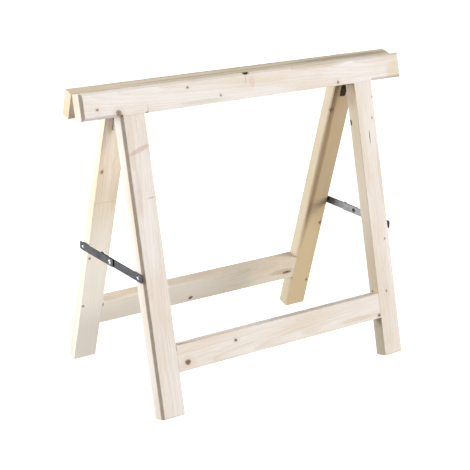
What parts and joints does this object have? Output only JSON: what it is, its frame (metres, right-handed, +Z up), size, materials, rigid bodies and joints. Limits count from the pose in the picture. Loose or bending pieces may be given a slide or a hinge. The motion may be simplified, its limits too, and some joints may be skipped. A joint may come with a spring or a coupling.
{
  "type": "folding sawhorse",
  "caption": "Folding timber sawhorse: two hinged frames that open to an inverted V, held by a folding steel stay on each side.",
  "frame": {"origin": "on the floor, midway between the four feet, with the sawhorse standing open", "axes": "+X along the rails towards the right end, -Y towards the front frame, +Z up"},
  "size_m": [0.934, 0.4576, 0.75],
  "materials": {
    "front_rail": "planed softwood, unfinished, with knots",
    "rear_rail": "planed softwood, unfinished, with knots",
    "front_left_leg": "planed softwood, unfinished, with knots",
    "front_right_leg": "planed softwood, unfinished, with knots",
    "rear_left_leg": "planed softwood, unfinished, with knots",
    "rear_right_leg": "planed softwood, unfinished, with knots",
    "front_stretcher": "planed softwood, unfinished, with knots",
    "rear_stretcher": "planed softwood, unfinished, with knots",
    "dowel_beech": "plain beech dowel",
    "hinge_steel": "bright zinc plate",
    "stay_zinc": "dull dark zinc plate",
    "rivet_steel": "bright zinc plate",
    "screw_zinc": "bright zinc plate"
  },
  "bodies": {
    "front_frame": {"front_rail": "front_rail", "front_left_leg": "front_left_leg", "front_right_leg": "front_right_leg", "front_stretcher": "front_stretcher", "front_rail_dowels": "dowel_beech", "front_stretcher_dowels": "dowel_beech", "left_hinge_front_leaf": "hinge_steel", "left_hinge_front_screws": "screw_zinc", "left_hinge_pin": "hinge_steel", "left_stay_front_screw": "screw_zinc", "left_stay_front_washer": "stay_zinc", "right_hinge_front_leaf": "hinge_steel", "right_hinge_front_screws": "screw_zinc", "right_hinge_pin": "hinge_steel", "right_stay_front_screw": "screw_zinc", "right_stay_front_washer": "stay_zinc"},
    "rear_frame": {"rear_rail": "rear_rail", "rear_left_leg": "rear_left_leg", "rear_right_leg": "rear_right_leg", "rear_stretcher": "rear_stretcher", "rear_rail_dowels": "dowel_beech", "rear_stretcher_dowels": "dowel_beech", "left_hinge_rear_leaf": "hinge_steel", "left_hinge_rear_screws": "screw_zinc", "left_stay_rear_screw": "screw_zinc", "left_stay_rear_spacer": "stay_zinc", "right_hinge_rear_leaf": "hinge_steel", "right_hinge_rear_screws": "screw_zinc", "right_stay_rear_screw": "screw_zinc", "right_stay_rear_spacer": "stay_zinc"},
    "left_front_link": {"left_stay_front_link": "stay_zinc", "left_stay_rivet_back": "rivet_steel"},
    "left_rear_link": {"left_stay_rear_link": "stay_zinc", "left_stay_rivet_head": "rivet_steel"},
    "right_front_link": {"right_stay_front_link": "stay_zinc", "right_stay_rivet_back": "rivet_steel"},
    "right_rear_link": {"right_stay_rear_link": "stay_zinc", "right_stay_rivet_head": "rivet_steel"}
  },
  "joints": [
    {"name": "fold", "type": "hinge", "parent": "front_frame", "child": "rear_frame", "pos_m": [0, 0, 0.73093], "axis": [-1, 0, 0], "range_deg": [0, 29.3]},
    {"name": "left_front_link_pivot", "type": "hinge", "parent": "front_frame", "child": "left_front_link", "pos_m": [-0.3713, -0.12776, 0.32918], "axis": [1, 0, 0], "range_deg": [0, 65.5]},
    {"name": "left_rear_link_pivot", "type": "hinge", "parent": "rear_frame", "child": "left_rear_link", "pos_m": [-0.3736, 0.12776, 0.32918], "axis": [-1, 0, 0], "range_deg": [0, 65.5]},
    {"name": "right_front_link_pivot", "type": "hinge", "parent": "front_frame", "child": "right_front_link", "pos_m": [0.3713, -0.12776, 0.32918], "axis": [1, 0, 0], "range_deg": [0, 65.5]},
    {"name": "right_rear_link_pivot", "type": "hinge", "parent": "rear_frame", "child": "right_rear_link", "pos_m": [0.3736, 0.12776, 0.32918], "axis": [-1, 0, 0], "range_deg": [0, 65.5]}
  ],
  "couplings": [
    {"joint": "left_front_link_pivot", "follows": "fold", "ratio": 2.2333},
    {"joint": "left_rear_link_pivot", "follows": "fold", "ratio": 2.2333},
    {"joint": "right_front_link_pivot", "follows": "fold", "ratio": 2.2333},
    {"joint": "right_rear_link_pivot", "follows": "fold", "ratio": 2.2333}
  ]
}
